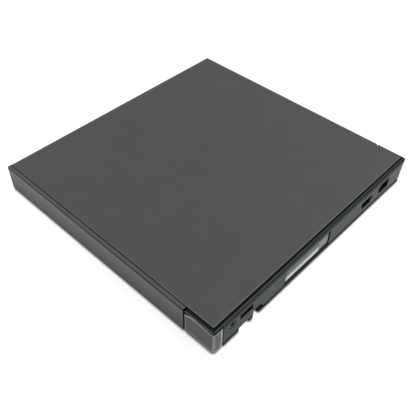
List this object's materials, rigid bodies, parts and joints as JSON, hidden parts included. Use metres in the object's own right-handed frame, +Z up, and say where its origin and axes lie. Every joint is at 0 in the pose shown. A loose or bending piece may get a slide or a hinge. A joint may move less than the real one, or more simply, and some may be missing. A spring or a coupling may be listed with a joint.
{
  "type": "external dvd drive",
  "caption": "Flat portable disc drive with a pull-out tray on telescoping rails, a corner eject button, a side housing with sockets, and four rubber feet.",
  "frame": {"origin": "middle of the footprint, on the surface that the feet stand on", "axes": "+X to the right seen from the front, +Y from the front to the back, +Z up; the tray comes out along -Y"},
  "size_m": [0.148, 0.1534, 0.016],
  "materials": {
    "lid_plastic": "matte, fine grain",
    "bezel_plastic": "satin",
    "housing_plastic": "satin",
    "gloss_black": "gloss",
    "smoked_plastic": "gloss",
    "black_plastic": "matte",
    "tray_plastic": "matte",
    "rubber": "matte",
    "sheet_steel": "zinc plated",
    "rail_steel": "plated",
    "cast_zinc": "cast",
    "screw_zinc": "zinc plated",
    "board_green": "solder mask",
    "socket_black": "moulded",
    "flex_amber": "film",
    "coil_copper": "wound",
    "lens_clear": "clear",
    "label_paper": "paper film",
    "white_plastic": "moulded"
  },
  "bodies": {
    "housing": {"bottom_cover": "black_plastic", "top_cover": "lid_plastic", "side_housing": "housing_plastic", "glossy_rim": "gloss_black", "rating_label": "label_paper", "foot_front_left": "rubber", "foot_front_right": "rubber", "foot_back_left": "rubber", "foot_back_right": "rubber", "case_screw_1": "screw_zinc", "case_screw_2": "screw_zinc", "case_screw_3": "screw_zinc", "case_screw_4": "screw_zinc", "eject_switch": "socket_black", "status_led": "lens_clear", "interface_board": "board_green", "small_port_shell": "sheet_steel", "small_port_tongue": "socket_black", "large_port_shell": "sheet_steel", "large_port_tongue": "socket_black", "dc_jack": "socket_black", "dc_jack_pin": "sheet_steel", "drive_base": "sheet_steel", "drive_cover": "sheet_steel", "rail_guide_left": "black_plastic", "rail_guide_right": "black_plastic", "drive_board": "board_green", "flat_flex": "flex_amber"},
    "tray": {"tray_bezel": "bezel_plastic", "disc_tray": "tray_plastic", "latch_solenoid": "coil_copper", "traverse_frame": "rail_steel", "spindle_motor": "cast_zinc", "guide_rod_left": "sheet_steel", "guide_rod_right": "sheet_steel", "sled_motor": "rail_steel", "damper_inner_left": "rubber", "damper_inner_right": "rubber", "damper_outer_left": "rubber", "damper_outer_right": "rubber"},
    "rail_left": {"slide_rail_left": "rail_steel"},
    "rail_right": {"slide_rail_right": "rail_steel"},
    "turntable": {"turntable": "black_plastic"},
    "lead_screw": {"lead_screw": "sheet_steel"},
    "pickup": {"pickup_carriage": "cast_zinc"},
    "lens": {"lens_holder": "lens_clear"},
    "latch": {"latch_hook": "rail_steel"},
    "eject_button": {"eject_button": "smoked_plastic"},
    "switch_plunger": {"switch_plunger": "white_plastic"}
  },
  "joints": [
    {"name": "tray_slide", "type": "slide", "parent": "housing", "child": "tray", "axis": [0, -1, 0], "range_m": [0, 0.124]},
    {"name": "rail_left_slide", "type": "slide", "parent": "housing", "child": "rail_left", "axis": [0, -1, 0], "range_m": [0, 0.062]},
    {"name": "rail_right_slide", "type": "slide", "parent": "housing", "child": "rail_right", "axis": [0, -1, 0], "range_m": [0, 0.062]},
    {"name": "turntable_spin", "type": "hinge", "parent": "tray", "child": "turntable", "pos_m": [-0.0087, -0.012, 0.0078], "axis": [0, 0, 1], "continuous": true},
    {"name": "lead_screw_turn", "type": "hinge", "parent": "tray", "child": "lead_screw", "pos_m": [-0.01902, -0.00168, 0.0054], "axis": [-0.7071, -0.7071, 0], "range_deg": [0, 4080]},
    {"name": "pickup_slide", "type": "slide", "parent": "tray", "child": "pickup", "axis": [-0.7071, -0.7071, 0], "range_m": [0, 0.034]},
    {"name": "lens_focus", "type": "slide", "parent": "pickup", "child": "lens", "axis": [0, 0, 1], "range_m": [-0.00025, 0.00025], "stiffness_N_per_m": 40},
    {"name": "latch_swing", "type": "hinge", "parent": "tray", "child": "latch", "pos_m": [0.0402, -0.0579, 0.0045], "axis": [0, 0, -1], "range_deg": [0, 10.89]},
    {"name": "eject_press", "type": "slide", "parent": "housing", "child": "eject_button", "axis": [0, 1, 0], "range_m": [0, 0.0004], "stiffness_N_per_m": 800},
    {"name": "plunger_press", "type": "slide", "parent": "housing", "child": "switch_plunger", "axis": [0, 1, 0], "range_m": [0, 0.0004]}
  ],
  "couplings": [
    {"joint": "rail_left_slide", "follows": "tray_slide", "ratio": 0.5},
    {"joint": "rail_right_slide", "follows": "tray_slide", "ratio": 0.5},
    {"joint": "lead_screw_turn", "follows": "pickup_slide", "rad_per_m": 2094.4},
    {"joint": "plunger_press", "follows": "eject_press", "ratio": 1}
  ]
}
